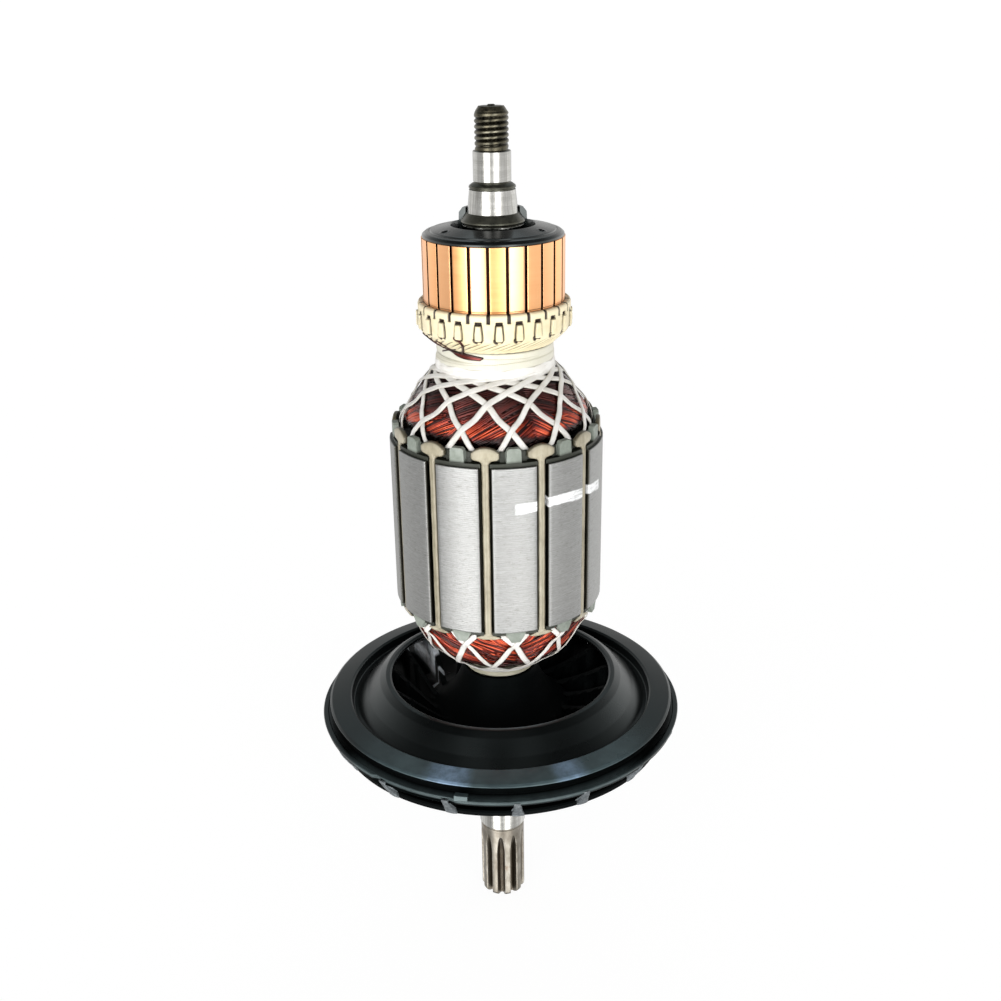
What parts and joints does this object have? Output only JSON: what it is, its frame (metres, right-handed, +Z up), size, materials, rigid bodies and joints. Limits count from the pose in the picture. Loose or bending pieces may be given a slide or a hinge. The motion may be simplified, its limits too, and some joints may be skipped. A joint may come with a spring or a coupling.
{
  "type": "motor armature",
  "caption": "Wound armature of a universal motor with commutator, laced windings, laminated core, shrouded cooling fan and a shaft with a cut pinion and a threaded end.",
  "frame": {"origin": "centre of the pinion end face, where the armature stands", "axes": "+Z up along the shaft from the pinion to the threaded end, -Y towards the viewer of the front view, +X to the viewer's right"},
  "size_m": [0.0976, 0.0976, 0.2209],
  "materials": {
    "ground_steel": "ground, bright on the bearing seats, brown grey on the pinion, black oxide on the thread",
    "oxide_steel": "black oxide",
    "core_steel": "ground lamination edges",
    "copper": "fine turned",
    "mica": "undercut, dark",
    "black_moulding": "satin",
    "cream_resin": "glossy",
    "cream_collar": "satin",
    "white_tape": "varnished woven tape",
    "red_enamel": "glossy enamel on copper wire",
    "tan_paper": "varnished",
    "green_insulator": "translucent satin"
  },
  "bodies": {
    "root": {"rotor_shaft": "ground_steel", "collar_ring": "oxide_steel", "commutator_bush": "ground_steel", "commutator_hub": "black_moulding", "commutator_bars": "copper", "mica_plates": "mica", "riser_resin": "cream_resin", "coil_leads": "cream_resin", "neck_binding": "white_tape", "upper_lacing_under": "white_tape", "upper_lacing_over": "white_tape", "armature_coils": "red_enamel", "slot_liners": "tan_paper", "slot_wedges": "tan_paper", "upper_end_insulator": "green_insulator", "lower_end_insulator": "green_insulator", "lamination_stack": "core_steel", "lower_lacing_under": "white_tape", "lower_lacing_over": "white_tape", "lower_binding": "white_tape", "insulating_sleeve": "cream_collar", "fan_impeller": "black_moulding", "fan_shroud": "black_moulding"}
  },
  "joints": []
}
